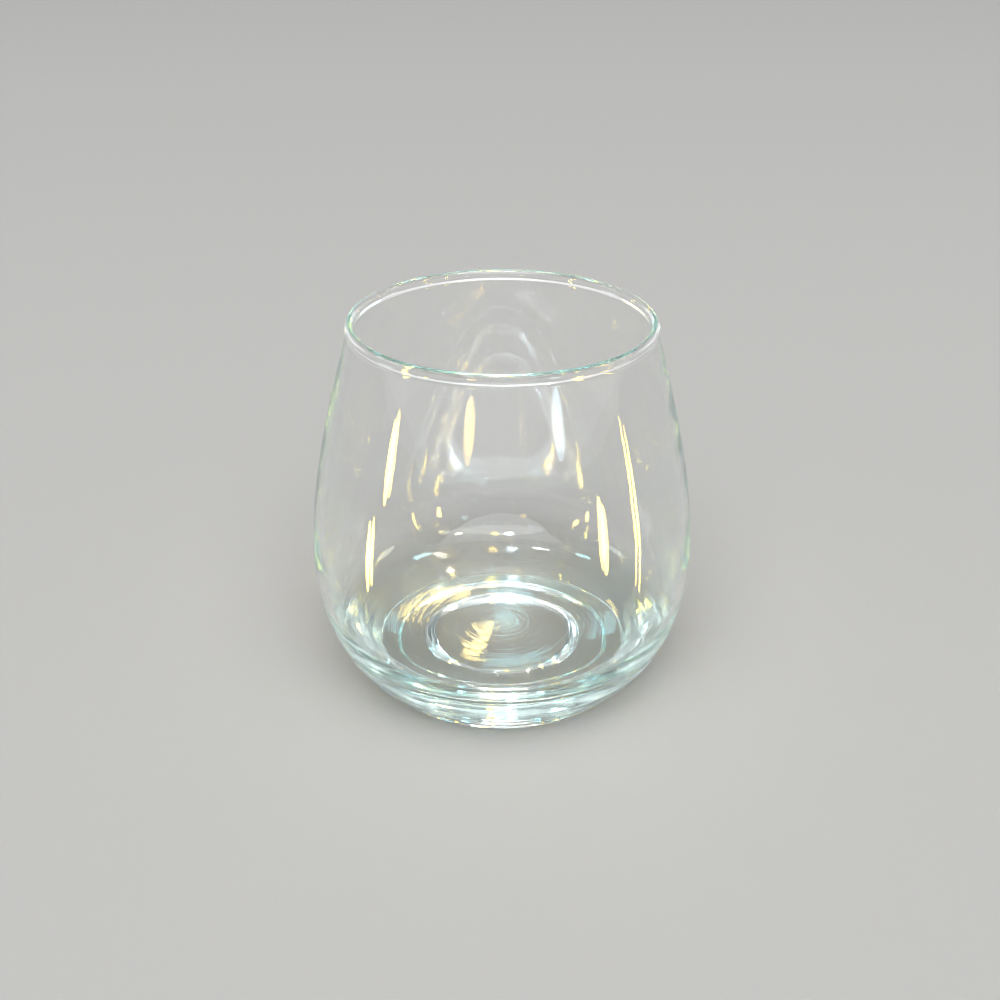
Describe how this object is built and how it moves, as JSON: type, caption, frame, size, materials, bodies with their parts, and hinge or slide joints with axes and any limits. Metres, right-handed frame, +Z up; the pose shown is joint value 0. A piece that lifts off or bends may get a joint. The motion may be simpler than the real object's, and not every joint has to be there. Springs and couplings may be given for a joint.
{
  "type": "stemless wine glass",
  "caption": "Round-bellied stemless wine glass of clear glass, drawn in to a beaded rim, standing on a foot ring round a pushed-up base.",
  "frame": {"origin": "on the axis of the glass at table level, in the middle of the foot ring", "axes": "+Z up along the axis of the glass, from the foot ring to the rim; +X and +Y are free, because the glass is round"},
  "size_m": [0.0954, 0.0954, 0.095],
  "materials": {
    "clear_glass": "polished, clear, with a faint green-blue tint where it is thick"
  },
  "bodies": {
    "root": {"rim_bead": "clear_glass", "upper_bowl": "clear_glass", "lower_bowl": "clear_glass", "heel_foot": "clear_glass", "punt_base": "clear_glass"}
  },
  "joints": []
}
